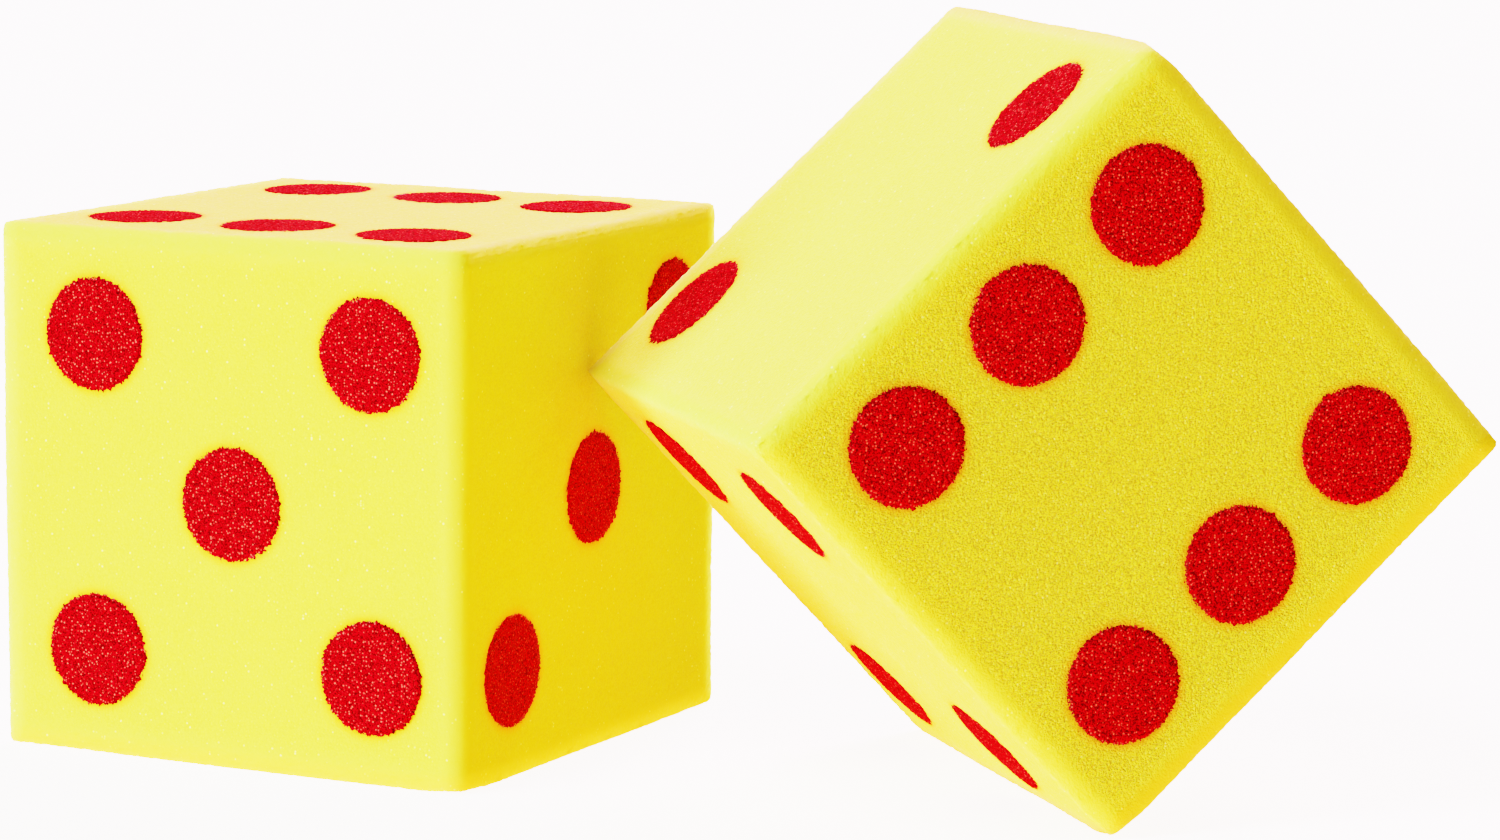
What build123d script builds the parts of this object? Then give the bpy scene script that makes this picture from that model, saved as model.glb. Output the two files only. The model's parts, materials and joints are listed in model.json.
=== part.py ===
"""A pair of giant foam yard dice: one lies flat, the other stands propped on an edge against it.

Each die is a solid cube of open-cell foam. Its pips are ink that has soaked a short way into the
cut face, so each pip is a thin disc that fills a pocket in the block, flush with the face.

Frame: millimetres, +Z up, origin at the centre of the face that the flat die rests on, and +X
towards the propped die, the long way of the pair.
"""
from build123d import *
from math import cos, radians, sin
import os

# Driving dimensions
EDGE = 152.4             # a six inch cube
EDGE_ROUND = 1.2         # radius worn onto every cut edge
PIP_RADIUS = 16.2
PIP_PITCH = 45.7         # from the middle of a face to an outer pip, along either edge
INK_DEPTH = 2.0          # how far the ink has soaked in

# How the second die stands: on the edge between its 4 and its 5, touching the first with a corner
YAW = -45.0              # direction of the standing edge, from +X
LEAN = 43.0              # angle between its 2 side's outward normal and straight up
TOUCH_GAP = 0.3          # clearance kept between the touching corner and the flat die
TOUCH_Y = -4.0           # where along the flat die's side the corner touches

HALF = EDGE / 2
HALF_FLAT = HALF - EDGE_ROUND    # from the centre of a die to the axes of its rounded edges

# Each side of a die: its outward normal and the direction of its sketch's x, both in the die's own
# axes, where +X is the 3 side, +Y the 2 side and +Z the 6 side. Opposite sides add up to seven.
SIDES = {
    1: ((0, 0, -1), (1, 0, 0)),
    2: ((0, 1, 0), (1, 0, 0)),
    3: ((1, 0, 0), (0, 1, 0)),
    4: ((-1, 0, 0), (0, -1, 0)),
    5: ((0, -1, 0), (1, 0, 0)),
    6: ((0, 0, 1), (1, 0, 0)),
}

# Pip places on each side, in steps of PIP_PITCH along the sketch's x and y
CORNERS = [(-1, -1), (1, -1), (-1, 1), (1, 1)]
PIP_STEPS = {
    1: [(0, 0)],
    2: [(1, -1), (-1, 1)],
    3: [(-1, -1), (0, 0), (1, 1)],
    4: CORNERS,
    5: CORNERS + [(0, 0)],
    6: CORNERS + [(0, -1), (0, 1)],
}

# The print sits a little off the middle on some sides: shift along the sketch's x and y
PRINT_SHIFT = {
    ("die_a", 3): (-0.1, 0.4),
    ("die_a", 5): (1.0, 0.0),
    ("die_a", 6): (-1.6, 1.3),
    ("die_b", 2): (2.4, 3.6),
    ("die_b", 4): (3.7, -9.0),
}
# On two sides it is also wider or narrower one way: scale along the sketch's x and y
PRINT_SCALE = {("die_a", 3): (1.05, 1.0), ("die_b", 4): (1.03, 0.85)}
# And on two it is turned about the side's middle: degrees, anticlockwise as seen from outside
PRINT_TURN = {("die_a", 6): -1.6, ("die_b", 4): -3.0}


def along(plane, direction):
    """A direction given in a plane's own axes, as a vector of the part's frame."""
    x, y, z = direction
    return plane.x_dir * x + plane.y_dir * y + plane.z_dir * z


def side_plane(die, number):
    """The plane of one side of a die, facing outwards."""
    normal, sketch_x = SIDES[number]
    outward = along(die, normal)
    return Plane(origin=die.origin + outward * HALF, x_dir=along(die, sketch_x), z_dir=outward)


def pip_places(name, number):
    """Pip centres on one side of a die, in the side's own plane."""
    shift_x, shift_y = PRINT_SHIFT.get((name, number), (0.0, 0.0))
    scale_x, scale_y = PRINT_SCALE.get((name, number), (1.0, 1.0))
    turn = radians(PRINT_TURN.get((name, number), 0.0))
    places = []
    for step_x, step_y in PIP_STEPS[number]:
        x = step_x * PIP_PITCH * scale_x
        y = step_y * PIP_PITCH * scale_y
        places.append(
            (x * cos(turn) - y * sin(turn) + shift_x, x * sin(turn) + y * cos(turn) + shift_y)
        )
    return places


def propped_plane():
    """The second die's own axes: it stands on its rounded edge and just clears the first die."""
    edge_way = Vector(cos(radians(YAW)), sin(radians(YAW)), 0)
    up = Vector(0, 0, 1)
    towards_first = edge_way.cross(up)
    two_way = up * cos(radians(LEAN)) + towards_first * sin(radians(LEAN))
    turned = Plane(origin=(0, 0, 0), x_dir=two_way.cross(edge_way), z_dir=edge_way)
    standing_edge = along(turned, (-HALF_FLAT, -HALF_FLAT, 0))
    corner = along(turned, (-HALF_FLAT, HALF_FLAT, -HALF_FLAT))
    centre = Vector(
        HALF + TOUCH_GAP + EDGE_ROUND - corner.X,
        TOUCH_Y - corner.Y,
        EDGE_ROUND - standing_edge.Z,
    )
    return Plane(origin=centre, x_dir=turned.x_dir, z_dir=turned.z_dir)


def save(piece, node):
    """Name a finished piece and write it as its own file."""
    piece.label = node
    export_step(piece, f"parts/{node}.step")


def make_block(name, die):
    """The foam cube, with its edges rounded and a shallow pocket for the ink of each pip."""
    with BuildPart(die) as block:
        Box(EDGE, EDGE, EDGE)
        fillet(block.edges(), radius=EDGE_ROUND)
        for number in SIDES:
            with BuildSketch(side_plane(die, number)):
                with Locations(*pip_places(name, number)):
                    Circle(PIP_RADIUS)
            extrude(amount=-INK_DEPTH, mode=Mode.SUBTRACT)
    save(block.part, f"{name}_block")


def make_pips(name, die):
    """One thin disc of ink-soaked foam for each pip, flush with its side."""
    for number in SIDES:
        for count, place in enumerate(pip_places(name, number), start=1):
            with BuildPart() as pip:
                with BuildSketch(side_plane(die, number)):
                    with Locations(place):
                        Circle(PIP_RADIUS)
                extrude(amount=-INK_DEPTH)
            save(pip.part, f"{name}_pip_{number}_{count}")


os.makedirs("parts", exist_ok=True)

flat_die = Plane(origin=(0, 0, HALF), x_dir=(1, 0, 0), z_dir=(0, 0, 1))
propped_die = propped_plane()
for die_name, die_plane in (("die_a", flat_die), ("die_b", propped_die)):
    make_block(die_name, die_plane)
    make_pips(die_name, die_plane)

# The propped die tips about the axis of its rounded standing edge
tip_axis_point = propped_die.origin + along(propped_die, (-HALF_FLAT, -HALF_FLAT, 0))
tip_axis = along(propped_die, (0, 0, -1))
print("tip axis through", tip_axis_point, "along", tip_axis)
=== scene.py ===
"""The looks of a pair of giant foam dice: cut open-cell foam with red ink soaked into its pips."""
import json
import math

import bpy
import numpy as np
from mathutils import Matrix, Vector, geometry


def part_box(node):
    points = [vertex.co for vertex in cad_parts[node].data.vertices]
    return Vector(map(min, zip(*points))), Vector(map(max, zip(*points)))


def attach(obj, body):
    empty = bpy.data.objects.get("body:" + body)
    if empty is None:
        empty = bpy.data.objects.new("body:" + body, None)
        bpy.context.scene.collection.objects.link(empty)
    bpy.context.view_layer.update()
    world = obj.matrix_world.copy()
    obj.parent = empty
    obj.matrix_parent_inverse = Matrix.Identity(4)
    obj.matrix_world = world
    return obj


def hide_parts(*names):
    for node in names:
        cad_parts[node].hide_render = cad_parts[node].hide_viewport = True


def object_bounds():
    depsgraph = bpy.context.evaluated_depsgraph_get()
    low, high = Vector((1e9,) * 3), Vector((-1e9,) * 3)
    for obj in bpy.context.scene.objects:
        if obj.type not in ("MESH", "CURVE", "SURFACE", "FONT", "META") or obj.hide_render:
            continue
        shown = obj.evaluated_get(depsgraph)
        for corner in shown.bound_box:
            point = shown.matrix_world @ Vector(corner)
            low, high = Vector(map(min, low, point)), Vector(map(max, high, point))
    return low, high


MM = 0.001
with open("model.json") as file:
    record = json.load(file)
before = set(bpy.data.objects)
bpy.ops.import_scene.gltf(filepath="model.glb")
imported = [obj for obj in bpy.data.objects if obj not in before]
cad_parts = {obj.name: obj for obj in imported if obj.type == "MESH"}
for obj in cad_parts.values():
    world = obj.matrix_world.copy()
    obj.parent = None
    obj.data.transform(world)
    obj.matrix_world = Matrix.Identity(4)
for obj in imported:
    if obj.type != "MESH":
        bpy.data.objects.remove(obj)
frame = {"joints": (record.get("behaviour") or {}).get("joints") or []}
cad_low, cad_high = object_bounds()

TINY = 1e-9                   # what counts as nothing between two lengths

# The camera, placed from the middle of the flat die
CAMERA_PLACE = Vector((5.092, -8.458, 1.5475))    # in edges of a die
CAMERA_FORWARD = Vector((-0.4452, 0.8836, -0.1454))
CAMERA_ROLL = 0.45            # degrees
CAMERA_LENS = 123.2           # millimetres, on a sensor 36 millimetres wide

# The floor and the wall round it, in metres
SWEEP_RADIUS = 20
SWEEP_HEIGHT = 14
SWEEP_BEND = 4                # radius of the curve between them
SWEEP_TURNS = 96              # points round it

# The foam: lengths are in metres
CELL = 0.95 * MM              # pitch of the foam's open cells
FINE = 0.50 * MM              # and of the roughness of their struts
SMALL_PATCH = 4 * MM          # patches of slightly different colour
LARGE_PATCH = 22 * MM
EVEN_SIDE_GRAIN = 0.22               # how strongly the cells' bump and painted highlights and shade show on the other sides
FULL_GRAIN_SIDES = {"die_b": (6, 1)}    # sides where the cells' bump and painted highlights and shade show in full, as under raking light
FULL_GRAIN_REACH = 2 * MM         # how far that runs on round an edge
FLAT_STEPS = 122              # mesh squares along the flat part of a block's side
EDGE_STEPS = 3                # and across each rounded edge
ROUGH = 0.20 * MM             # how far the cut cells stand in or out of a side
WAVE = 0.15 * MM              # slow waviness of the cut
WAVE_LENGTH = 60 * MM
DULLED = 0.4 * MM             # how far the eight corners are worn back beyond the rounded edges
DULLED_REACH = 3 * MM         # and how far along the edges that runs
# A few are worn further: which corner of the die, how deep, and how far that reaches along x, y, z
WORN_CORNERS = {
    "die_a": [((1, -1, -1), 0.7 * MM, (14 * MM, 20 * MM, 14 * MM))],
    "die_b": [
        ((1, 1, 1), 0.9 * MM, (10 * MM, 10 * MM, 10 * MM)),
        ((-1, -1, 1), 0.8 * MM, (14 * MM, 14 * MM, 14 * MM)),
    ],
}
WEAR_AND_GLOW_REACH = 11 * MM          # how far from an edge the foam is paler: partly handled, partly a painted glow of light scattered in through the edge
SOFT_EDGE = 6.0 * MM          # how round the edges look in shading
POCKET = 1.0 * MM             # how far a block sinks under its pips
POCKET_RIM = (0.7 * MM, 2.4 * MM)    # where the pocket starts and is full, inside a pip's edge

# The ink
INK_PROUD = 0.20 * MM         # its surface over the cut
INK_DIP = 0.12 * MM           # how far its outline dips below that
INK_DIP_REACH = 1.2 * MM      # and how wide that dip is
INK_SKIRT = 0.9 * MM          # how deep a pip's wall goes into the foam
INK_TAPER = 0.985             # how much narrower the wall is at its foot
INK_STEP = 0.8 * MM           # spacing of a pip's mesh points
INK_ROUGH = 0.15 * MM
INK_TURNS = 440               # points round a pip's ragged outline
RAGGED = 0.80 * MM            # how far single cells reach out of or into that outline
RAGGED_STEP = CELL * 0.45     # and how closely they follow each other along it
BLEED = 0.45 * MM             # how far the ink has wicked out along single struts

# Bake UVs: a block's six sides lie three across and two up, a pip's back in a corner of its top's
SIDE_TILE = np.array((1 / 3, 1 / 2))
SIDE_MARGIN = 0.01            # left free round each side, as a share of its tile
PIP_SPAN = 2.3                # the width that a pip's UVs cover, in radii of a pip
PIP_WALL = 1.06               # how far out the foot of the wall is spread
PIP_TOP = 0.97                # share of the UV square for the top and wall
PIP_BACK = 0.12               # and for the back, whose tile starts at PIP_BACK_PLACE both ways
PIP_BACK_PLACE = 0.86


# ---------------------------------------------------------------- the dice, as the frame gives them

def middle(node):
    low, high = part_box(node)
    return (low + high) / 2


def extent(node):
    low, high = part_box(node)
    return high - low


EDGE = extent("die_a_block").x
HALF = EDGE / 2
INK_DEPTH = extent("die_a_pip_1_1").z
PIP_RADIUS = extent("die_a_pip_1_1").x / 2

tip = frame["joints"][0]
tip_axis = Vector(tip["axis"])
to_centre = middle("die_b_block") - Vector(tip["pos_m"])
FLAT_HALF = to_centre.length / math.sqrt(2)
EDGE_ROUND = HALF - FLAT_HALF


def flat_pose():
    return Matrix.Translation(middle("die_a_block"))


def propped_pose():
    """The second die turns about its standing edge, so the hinge gives its axes."""
    z = -tip_axis.normalized()
    diagonal = to_centre.normalized()
    x = Matrix.Rotation(-math.pi / 4, 3, z) @ diagonal
    y = z.cross(x)
    turn = Matrix((x, y, z)).transposed().to_4x4()
    return Matrix.Translation(middle("die_b_block")) @ turn


# Each side of a die: outward normal and the direction of its mesh's first axis, in the die's axes
SIDES = {
    1: ((0, 0, -1), (1, 0, 0)),
    2: ((0, 1, 0), (1, 0, 0)),
    3: ((1, 0, 0), (0, 1, 0)),
    4: ((-1, 0, 0), (0, -1, 0)),
    5: ((0, -1, 0), (1, 0, 0)),
    6: ((0, 0, 1), (1, 0, 0)),
}


def side_axes(number):
    """Normal, first and second axis of a side, as arrays in the die's own axes."""
    normal, first = (np.array(v, float) for v in SIDES[number])
    return normal, first, np.cross(normal, first)


# ---------------------------------------------------------------- camera, light and floor

def add_camera():
    """The photo's viewpoint: nearly level, a long lens, from the front right of the flat die."""
    data = bpy.data.cameras.new("camera")
    data.lens = CAMERA_LENS
    data.sensor_width = 36
    data.clip_end = 5 * SWEEP_RADIUS
    camera = bpy.data.objects.new("camera", data)
    place = Matrix.Translation(middle("die_a_block") + CAMERA_PLACE * EDGE)
    turn = CAMERA_FORWARD.normalized().to_track_quat("-Z", "Y").to_matrix().to_4x4()
    roll = Matrix.Rotation(math.radians(CAMERA_ROLL), 4, "Z")
    camera.matrix_world = place @ turn @ roll
    bpy.context.scene.collection.objects.link(camera)
    bpy.context.scene.camera = camera


def add_sun(name, towards, strength, softness, colour):
    """A lamp far away, shining from the direction given. Its softness is its width in degrees."""
    data = bpy.data.lights.new(name, "SUN")
    data.energy = strength
    data.angle = math.radians(softness)
    data.color = colour
    lamp = bpy.data.objects.new(name, data)
    lamp.matrix_world = Vector(towards).to_track_quat("Z", "Y").to_matrix().to_4x4()
    bpy.context.scene.collection.objects.link(lamp)


def add_world(colour, strength):
    world = bpy.data.worlds.new("studio")
    world.use_nodes = True
    background = world.node_tree.nodes["Background"]
    background.inputs["Color"].default_value = (*colour, 1)
    background.inputs["Strength"].default_value = strength
    bpy.context.scene.world = world


def add_light():
    """A warm dim world and seven soft tinted lamps, for the light of a bright table and room."""
    add_world((1.0, 0.45, 0.0), 0.64)
    # onto the flat die's 5 side, over the tops, and onto what faces the front
    add_sun("key", (-0.62, -0.78, 0.02), 6.5, 35, (0.47, 1.0, 1.0))
    add_sun("rake", (-0.25, -0.45, 0.86), 5.0, 25, (0.80, 0.50, 0.70))
    add_sun("front", (0.05, -0.99, 0.05), 1.8, 35, (0.0, 0.80, 1.0))
    # up from the table, onto the propped die's undersides and the flat die's right side
    add_sun("under", (0.02, -0.30, -0.95), 10.8, 40, (1.0, 0.25, 0.20))
    add_sun("under_right", (0.72, -0.05, -0.69), 1.0, 50, (1.0, 0.75, 0.0))
    # from behind, over the tops and onto the backs
    add_sun("back_high", (-0.10, 0.75, 0.65), 8.0, 30, (0.85, 0.35, 0.72))
    add_sun("back_low", (-0.10, 0.98, -0.10), 5.5, 40, (0.85, 1.0, 0.20))


def set_view():
    view = bpy.context.scene.view_settings
    view.view_transform = "Filmic"
    view.look = "Very High Contrast"


def add_sweep():
    """A plain pale floor that curves up into a pale wall all round, like a studio's light table.

    It glows a little, so that shadows stay light, and it throws no colour back on the dice: the
    lamps and the world stand for that.
    """
    arc = [math.radians(a) for a in range(0, 91, 10)]
    flat_radius = SWEEP_RADIUS - SWEEP_BEND
    profile = [
        (flat_radius + SWEEP_BEND * math.sin(a), SWEEP_BEND - SWEEP_BEND * math.cos(a)) for a in arc
    ]
    profile.append((SWEEP_RADIUS, SWEEP_HEIGHT))
    turns = [2 * math.pi * i / SWEEP_TURNS for i in range(SWEEP_TURNS)]
    points = [(r * math.cos(t), r * math.sin(t), z) for r, z in profile for t in turns]
    faces = [tuple(range(SWEEP_TURNS))]
    for ring in range(len(profile) - 1):
        start = ring * SWEEP_TURNS
        for i in range(SWEEP_TURNS):
            a, b = start + i, start + (i + 1) % SWEEP_TURNS
            faces.append((a, b, b + SWEEP_TURNS, a + SWEEP_TURNS))
    mesh = bpy.data.meshes.new("sweep")
    mesh.from_pydata(points, [], faces)
    sweep = bpy.data.objects.new("sweep", mesh)
    sweep.location.z = cad_low.z
    sweep.visible_diffuse = False
    sweep.visible_glossy = False
    sweep.visible_shadow = False
    bpy.context.scene.collection.objects.link(sweep)
    material = bpy.data.materials.new("sweep")
    material.use_nodes = True
    surface = material.node_tree.nodes["Principled BSDF"]
    surface.inputs["Base Color"].default_value = (0.9, 0.9, 0.9, 1)
    surface.inputs["Roughness"].default_value = 0.9
    surface.inputs["Specular IOR Level"].default_value = 0.2
    surface.inputs["Emission Color"].default_value = (1, 1, 1, 1)
    surface.inputs["Emission Strength"].default_value = 2.6
    mesh.materials.append(material)


# ---------------------------------------------------------------- materials

class Tree:
    """A material's nodes, added one by one."""

    def __init__(self, name):
        self.material = bpy.data.materials.new(name)
        self.material.use_nodes = True
        self.nodes = self.material.node_tree.nodes
        self.links = self.material.node_tree.links
        self.surface = self.nodes["Principled BSDF"]

    def put(self, value, socket):
        """Link a node's output to a socket, or set the socket to a plain value."""
        if isinstance(value, bpy.types.NodeSocket):
            self.links.new(value, socket)
        elif socket.type == "RGBA":
            socket.default_value = (*value, 1)
        else:
            socket.default_value = value

    def node(self, kind, settings=None, **inputs):
        made = self.nodes.new(kind)
        for name, value in (settings or {}).items():
            setattr(made, name, value)
        for name, value in inputs.items():
            self.put(value, made.inputs[name.replace("_", " ")])
        return made

    def maths(self, operation, a, b):
        made = self.node("ShaderNodeMath", {"operation": operation})
        self.put(a, made.inputs[0])
        self.put(b, made.inputs[1])
        return made.outputs[0]

    def ramp(self, value, low, high, to_low=0.0, to_high=1.0):
        """Smoothly from to_low to to_high as value goes from low to high."""
        made = self.node("ShaderNodeMapRange", {"interpolation_type": "SMOOTHSTEP"})
        for socket, number in zip(made.inputs, (value, low, high, to_low, to_high)):
            self.put(number, socket)
        return made.outputs[0]

    def mix(self, share, a, b):
        """Colour a, with the given share of colour b."""
        made = self.node("ShaderNodeMix", {"data_type": "RGBA"})
        self.put(share, made.inputs[0])
        self.put(a, made.inputs[6])
        self.put(b, made.inputs[7])
        return made.outputs[2]

    def noise(self, place, size):
        return self.node("ShaderNodeTexNoise", Vector=place, Scale=1 / size, Detail=2.0).outputs["Fac"]

    def attribute(self, name):
        return self.node("ShaderNodeAttribute", {"attribute_name": name}).outputs["Fac"]


def cut_cells(tree, place):
    """The cut foam's open cells.

    Gives how strongly a painted highlight shows in the open middle of each cell, the cell's own random
    value, a finer noise on its struts, and the height of it all.
    """
    middles = tree.node("ShaderNodeTexVoronoi", {"feature": "F1"}, Vector=place, Scale=1 / CELL)
    chance = tree.node("ShaderNodeSeparateColor", Color=middles.outputs["Color"]).outputs[0]
    fine = tree.noise(place, FINE)
    size = tree.ramp(chance, 0.0, 1.0, 0.28, 0.50)
    window_highlight = tree.ramp(middles.outputs["Distance"], 0.12, size, 1.0, 0.0)
    window_highlight = tree.maths("MULTIPLY", window_highlight, tree.ramp(chance, 0.0, 0.8, 0.15, 1.0))
    height = tree.maths("ADD", tree.maths("MULTIPLY", middles.outputs["Distance"], 0.5), fine)
    return window_highlight, chance, fine, height


def foam_material():
    tree = Tree("foam")
    place = tree.node("ShaderNodeTexCoord").outputs["Object"]
    window_highlight, chance, fine, height = cut_cells(tree, place)
    slow = tree.noise(place, LARGE_PATCH)
    patches = tree.noise(place, SMALL_PATCH)
    wear_and_edge_glow = tree.attribute("wear_and_edge_glow")
    from_rim = tree.attribute("from_rim")
    bump_and_painted_grain = tree.attribute("bump_and_painted_grain")

    shade = (0.56, 0.46, 0.028)
    smooth = (1.0, 0.92, 0.055)
    pale = (1.0, 1.0, 0.130)
    even = (0.68, 0.60, 0.037)
    handled_and_edge_glow = (0.80, 0.75, 0.085)
    faded = (0.80, 0.74, 0.060)
    bright = (1.0, 0.98, 0.28)
    stain_and_painted_glow = (0.96, 0.38, 0.003)
    # darker where the fine noise is low: painted shade in the hollows between the struts
    body = tree.mix(tree.ramp(fine, 0.35, 0.60), shade, smooth)
    # paler in the middle of each cell: a painted highlight, as of light caught there
    body = tree.mix(window_highlight, body, pale)
    # on the other sides the cells' painted highlights and shade are evened out
    body = tree.mix(tree.maths("SUBTRACT", 1.0, bump_and_painted_grain), body, even)
    # near the edges the grain is evened out and the foam paler: partly wear from handling, partly a
    # painted glow of light scattered through the foam there
    body = tree.mix(tree.ramp(wear_and_edge_glow, 0.0, 0.7, 0.0, 0.85), body, even)
    body = tree.mix(tree.maths("MULTIPLY", wear_and_edge_glow, 0.35), body, handled_and_edge_glow)
    body = tree.mix(tree.ramp(slow, 0.3, 0.7, 0.0, 0.10), body, faded)
    body = tree.mix(tree.ramp(patches, 0.40, 0.65, 0.0, 0.10), body, even)
    # painted glints: a few cells, mostly in loose groups, are painted near white as if they caught the
    # light
    glint = tree.maths("MULTIPLY", window_highlight, tree.ramp(chance, 0.90, 0.97))
    glint = tree.maths("MULTIPLY", glint, tree.ramp(patches, 0.45, 0.62, 0.1, 0.8))
    body = tree.mix(glint, body, bright)
    # round each pip the foam is orange: partly ink stain, partly a painted glow of light scattered
    # through the foam from under the red ink; the ink has also run along single struts; from_rim is in
    # millimetres
    tint = tree.ramp(from_rim, -0.5, 3.0, 0.80, 0.0)
    tint = tree.maths("ADD", tint, tree.ramp(from_rim, 0.0, 7.0, 0.15, 0.0))
    body = tree.mix(tint, body, stain_and_painted_glow)
    reach = tree.maths("MULTIPLY", tree.maths("SUBTRACT", fine, 0.52), 7 * BLEED / MM)
    inked = tree.ramp(tree.maths("SUBTRACT", from_rim, reach), -0.1, 0.1, 1.0, 0.0)
    body = tree.mix(inked, body, ink_colour(tree, window_highlight, fine))

    tree.put(body, tree.surface.inputs["Base Color"])
    tree.put(tree.ramp(chance, 0.0, 1.0, 0.65, 0.9), tree.surface.inputs["Roughness"])
    relief = tree.maths("MULTIPLY", bump_and_painted_grain, tree.ramp(wear_and_edge_glow, 0.0, 0.8, 1.0, 0.3))
    bump = tree.node("ShaderNodeBump", Strength=relief, Distance=1.9 * MM, Height=height)
    tree.put(bump.outputs[0], tree.surface.inputs["Normal"])
    tree.put(tree.ramp(inked, 0.0, 1.0, 0.35, 0.0), tree.surface.inputs["Subsurface Weight"])
    tree.surface.inputs["Subsurface Radius"].default_value = (15 * MM, 13 * MM, 10 * MM)
    tree.surface.inputs["Subsurface Scale"].default_value = 1.0
    tree.surface.inputs["Specular IOR Level"].default_value = 0.12
    tree.surface.inputs["Sheen Weight"].default_value = 0.08
    tree.surface.inputs["Sheen Roughness"].default_value = 0.6
    return tree.material


def ink_colour(tree, window_highlight, fine):
    """Red struts over painted shade in the hollows, with a painted highlight in each cell, strong in
    some of them.
    """
    hollow = (0.12, 0.0, 0.002)
    strut = (0.60, 0.002, 0.010)
    speck = (1.0, 0.11, 0.08)
    body = tree.mix(tree.ramp(fine, 0.44, 0.56), hollow, strut)
    return tree.mix(window_highlight, body, speck)


def ink_material():
    tree = Tree("pip_ink")
    place = tree.node("ShaderNodeTexCoord").outputs["Object"]
    window_highlight, chance, fine, height = cut_cells(tree, place)
    tree.put(ink_colour(tree, window_highlight, fine), tree.surface.inputs["Base Color"])
    tree.put(tree.ramp(chance, 0.0, 1.0, 0.6, 0.9), tree.surface.inputs["Roughness"])
    bump = tree.node("ShaderNodeBump", Strength=1.0, Distance=0.7 * MM, Height=height)
    tree.put(bump.outputs[0], tree.surface.inputs["Normal"])
    tree.surface.inputs["Specular IOR Level"].default_value = 0.02
    return tree.material


# ---------------------------------------------------------------- meshes

def smoothstep(x, low, high):
    t = np.clip((x - low) / (high - low), 0, 1)
    return t * t * (3 - 2 * t)


def slow_waves(points, rng, wavelength):
    """A smooth random height at each point, mostly between -1 and 1."""
    total = np.zeros(len(points))
    waves = 7
    for _ in range(waves):
        way = rng.normal(size=3)
        way /= np.linalg.norm(way)
        turns = 2 * math.pi / (wavelength * rng.uniform(0.7, 1.6))
        total += np.sin(points @ way * turns + rng.uniform(0, 2 * math.pi))
    usual_height = 3
    return total / usual_height


def new_piece(name, points, faces, pose, material, uvs, attributes=None):
    """A mesh piece from points in a die's own axes, with its own bake UVs and values per point."""
    mesh = bpy.data.meshes.new(name)
    mesh.from_pydata(points.tolist(), [], faces)
    mesh.transform(pose)
    layer = mesh.uv_layers.new(name="OFBake")
    layer.data.foreach_set("uv", np.asarray(uvs, np.float32).ravel())
    for key, values in (attributes or {}).items():
        made = mesh.attributes.new(key, "FLOAT", "POINT")
        made.data.foreach_set("value", np.asarray(values, np.float32))
    mesh.shade_smooth()
    mesh.materials.append(material)
    piece = bpy.data.objects.new(name, mesh)
    bpy.context.scene.collection.objects.link(piece)
    return piece


def rounded_cube():
    """Points, faces and UVs of a cube of square mesh, whose edges are not rounded yet."""
    rounding = np.linspace(FLAT_HALF, HALF, EDGE_STEPS + 1)[1:]
    flat = np.linspace(-FLAT_HALF, FLAT_HALF, FLAT_STEPS + 1)
    steps = np.concatenate([-rounding[::-1], flat, rounding])
    count = len(steps)
    across, up = np.meshgrid(steps, steps, indexing="ij")
    corner = np.arange(count**2).reshape(count, count)
    quads = np.stack([corner[:-1, :-1], corner[1:, :-1], corner[1:, 1:], corner[:-1, 1:]], -1)
    quads = quads.reshape(-1, 4)
    points, faces, uvs = [], [], []
    for order, number in enumerate(SIDES):
        normal, first, second = side_axes(number)
        points.append(normal * HALF + across.reshape(-1, 1) * first + up.reshape(-1, 1) * second)
        faces.append(quads + count**2 * order)
        share = np.stack([across.ravel(), up.ravel()], 1) / EDGE + 0.5
        share = SIDE_MARGIN + (1 - 2 * SIDE_MARGIN) * share
        shown = (np.array([order % 3, order // 3]) + share) * SIDE_TILE
        uvs.append(shown[quads])
    points, faces = np.concatenate(points), np.concatenate(faces)
    # neighbouring sides share the points along their edges
    keys = np.round(points / (EDGE_ROUND / EDGE_STEPS) * 4).astype(int)
    _, kept, merged = np.unique(keys, axis=0, return_index=True, return_inverse=True)
    return points[kept], merged.ravel()[faces], np.concatenate(uvs).reshape(-1, 2)


def pip_facts(die, pose):
    """Each pip's node, side number and centre on the side's surface, in the die's own axes."""
    back = pose.inverted()
    facts = []
    for number in SIDES:
        normal, _, _ = side_axes(number)
        for count in range(1, number + 1):
            node = f"{die}_pip_{number}_{count}"
            centre = np.array(back @ middle(node)) + normal * INK_DEPTH / 2
            facts.append((node, number, centre))
    return facts


def soften_shading(block, points, pose):
    """Light sinks into foam, so its edges shade as if they were rounder than they are."""
    core = np.clip(points, -(HALF - SOFT_EDGE), HALF - SOFT_EDGE)
    normals = points - core
    normals /= np.linalg.norm(normals, axis=1)[:, None]
    turned = normals @ np.array(pose.to_3x3()).T
    block.data.normals_split_custom_set_from_vertices(turned.tolist())


def scatter(points, rng):
    """Shift the points along their sides, so that no straight rows show."""
    on_side = np.count_nonzero(np.abs(points) > FLAT_HALF + TINY, axis=1) < 2
    jitter = rng.uniform(-0.3, 0.3, points.shape) * 2 * FLAT_HALF / FLAT_STEPS
    jitter[np.abs(points) > HALF - TINY] = 0
    return points + jitter * on_side[:, None]


def coarseness(die, points):
    """How strongly the foam's cells show at each point: their bump and their painted highlights and
    shade.
    """
    bump_and_painted_grain = np.full(len(points), EVEN_SIDE_GRAIN)
    for number in FULL_GRAIN_SIDES.get(die, ()):
        normal, _, _ = side_axes(number)
        below = HALF - points @ normal
        bump_and_painted_grain = np.maximum(bump_and_painted_grain, 1 - smoothstep(below, 0, FULL_GRAIN_REACH))
    return bump_and_painted_grain


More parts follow.
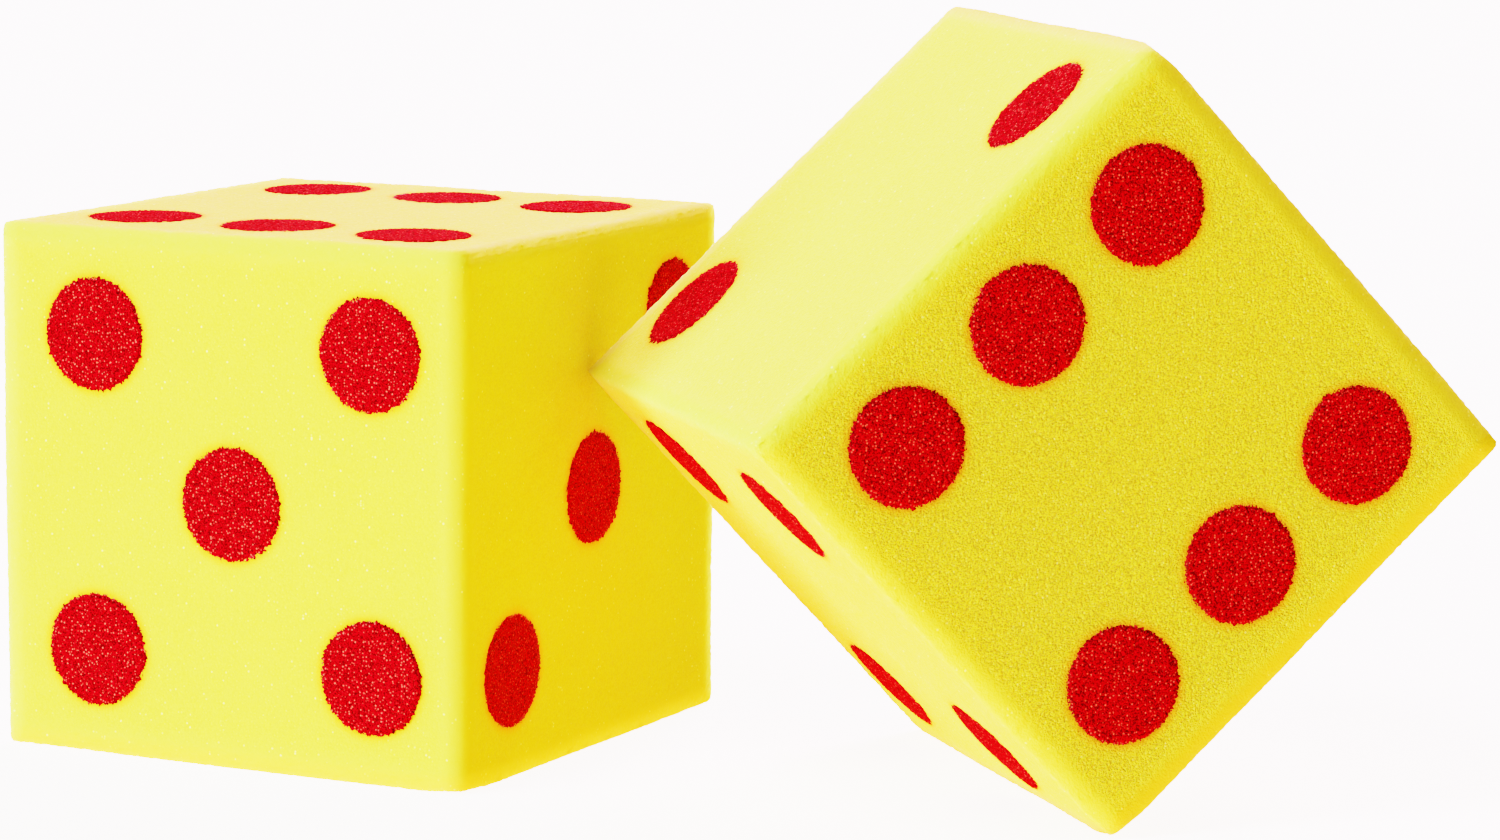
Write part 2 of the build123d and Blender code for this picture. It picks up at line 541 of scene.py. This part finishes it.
def cut_surface(die, points, from_rim, to_corner, rng):
    """The points on the rounded, uneven and worn surface of the block."""
    inner = np.clip(points, -FLAT_HALF, FLAT_HALF)
    outward = points - inner
    outward /= np.linalg.norm(outward, axis=1)[:, None]
    cornerness = 1 - smoothstep(to_corner, 0, DULLED_REACH)
    sunk = smoothstep(-from_rim, *POCKET_RIM)
    height = rng.uniform(-1, 1, len(points)) * ROUGH + slow_waves(points, rng, WAVE_LENGTH) * WAVE
    height -= cornerness**2 * DULLED + sunk * POCKET
    surface = inner + outward * (EDGE_ROUND + height)[:, None]
    for signs, depth, reach in WORN_CORNERS[die]:
        away = np.abs(points - np.array(signs) * HALF)
        share = np.prod(1 - smoothstep(away, 0, np.array(reach)), axis=1)
        surface -= share[:, None] * np.array(signs) * depth
    return surface


def make_block(die, pose, pips, material, seed):
    rng = np.random.default_rng(seed)
    points, faces, uvs = rounded_cube()
    points = scatter(points, rng)
    from_rim = np.full(len(points), EDGE)
    for _, _, centre in pips:
        gap = np.linalg.norm(points - centre, axis=1) - PIP_RADIUS
        from_rim = np.minimum(from_rim, gap)
    _, to_edge, to_corner = np.sort(HALF - np.abs(points), axis=1).T
    surface = cut_surface(die, points, from_rim, to_corner, rng)
    values = {
        "wear_and_edge_glow": 1 - smoothstep(to_edge, 0, WEAR_AND_GLOW_REACH),
        "from_rim": from_rim / MM,
        "bump_and_painted_grain": coarseness(die, points),
    }
    block = new_piece(f"{die}_foam", surface, faces.tolist(), pose, material, uvs, values)
    soften_shading(block, points, pose)
    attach(block, die)
    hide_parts(f"{die}_block")


def ragged_outline(rng):
    """Angle and radius at each step round a pip, where single cells reach in or out."""
    angles = np.arange(INK_TURNS) * 2 * math.pi / INK_TURNS
    cell_turns = int(2 * math.pi * PIP_RADIUS / RAGGED_STEP)
    reach = rng.normal(0, 0.5, cell_turns).clip(-1, 1) * RAGGED
    slots = np.arange(cell_turns + 1) * 2 * math.pi / cell_turns
    uneven = np.interp(angles, slots, np.append(reach, reach[0]))
    slow = np.sin(angles * 3 + rng.uniform(0, 6)) + np.sin(angles * 5 + rng.uniform(0, 6))
    return angles, PIP_RADIUS + uneven + slow * RAGGED / 6


def filled_outline(angles, reach, rng):
    """Flat points and triangles that fill a pip's outline, and which points lie along it."""
    outline = np.stack([np.cos(angles), np.sin(angles)], 1) * reach[:, None]
    lines = np.arange(-PIP_RADIUS, PIP_RADIUS, INK_STEP)
    inside = np.stack(np.meshgrid(lines, lines), -1).reshape(-1, 2)
    inside += rng.uniform(-0.35, 0.35, inside.shape) * INK_STEP
    inside = inside[np.linalg.norm(inside, axis=1) < reach.min() - INK_STEP * 0.6]
    given = [Vector(p) for p in np.concatenate([outline, inside])]
    ring = [(i, (i + 1) % INK_TURNS) for i in range(INK_TURNS)]
    flat, _, triangles, sources, _, _ = geometry.delaunay_2d_cdt(given, ring, [], 1, TINY)
    rim = [sources.index([i]) for i in range(INK_TURNS)]
    return np.array([tuple(p) for p in flat]), [tuple(t) for t in triangles], rim


def make_pip(node, number, centre, die, pose, material, seed):
    """A thin disc of inked foam: a rough top with a ragged outline, a short wall and a flat back."""
    rng = np.random.default_rng(seed)
    angles, reach = ragged_outline(rng)
    flat, faces, rim = filled_outline(angles, reach, rng)

    normal, first, second = side_axes(number)
    inward = reach.mean() - np.linalg.norm(flat, axis=1)
    height = INK_PROUD + rng.uniform(-1, 1, len(flat)) * INK_ROUGH
    height -= (1 - smoothstep(inward, 0, INK_DIP_REACH)) * INK_DIP
    top = centre + flat @ np.stack([first, second]) + height[:, None] * normal
    foot = centre + flat[rim] @ np.stack([first, second]) * INK_TAPER - INK_SKIRT * normal
    back = centre - INK_SKIRT * normal
    points = np.concatenate([top, foot, back[None]])
    start, hub = len(flat), len(flat) + INK_TURNS
    for i in range(INK_TURNS):
        after = (i + 1) % INK_TURNS
        faces.append((rim[i], start + i, start + after, rim[after]))
        faces.append((start + after, start + i, hub))

    shown = np.concatenate([flat, flat[rim] * PIP_WALL, np.zeros((1, 2))])
    shown = shown / (PIP_SPAN * PIP_RADIUS) + 0.5
    uvs = []
    for face in faces:
        size, start_uv = (PIP_BACK, PIP_BACK_PLACE) if hub in face else (PIP_TOP, 0)
        for point in face:
            uvs.append(shown[point] * size + start_uv)
    piece = new_piece(f"{node}_ink", points, faces, pose, material, uvs)
    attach(piece, die)
    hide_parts(node)


# ---------------------------------------------------------------- build

add_camera()
add_sweep()
add_light()
set_view()

foam = foam_material()
ink = ink_material()
for block_seed, (die_name, die_pose) in enumerate((("die_a", flat_pose()), ("die_b", propped_pose()))):
    die_pips = pip_facts(die_name, die_pose)
    make_block(die_name, die_pose, die_pips, foam, block_seed)
    # a seed of its own for every pip, from 100 on the first die and from 200 on the second
    for pip_seed, (pip_node, side, pip_centre) in enumerate(die_pips, 100 * (block_seed + 1)):
        make_pip(pip_node, side, pip_centre, die_name, die_pose, ink, pip_seed)
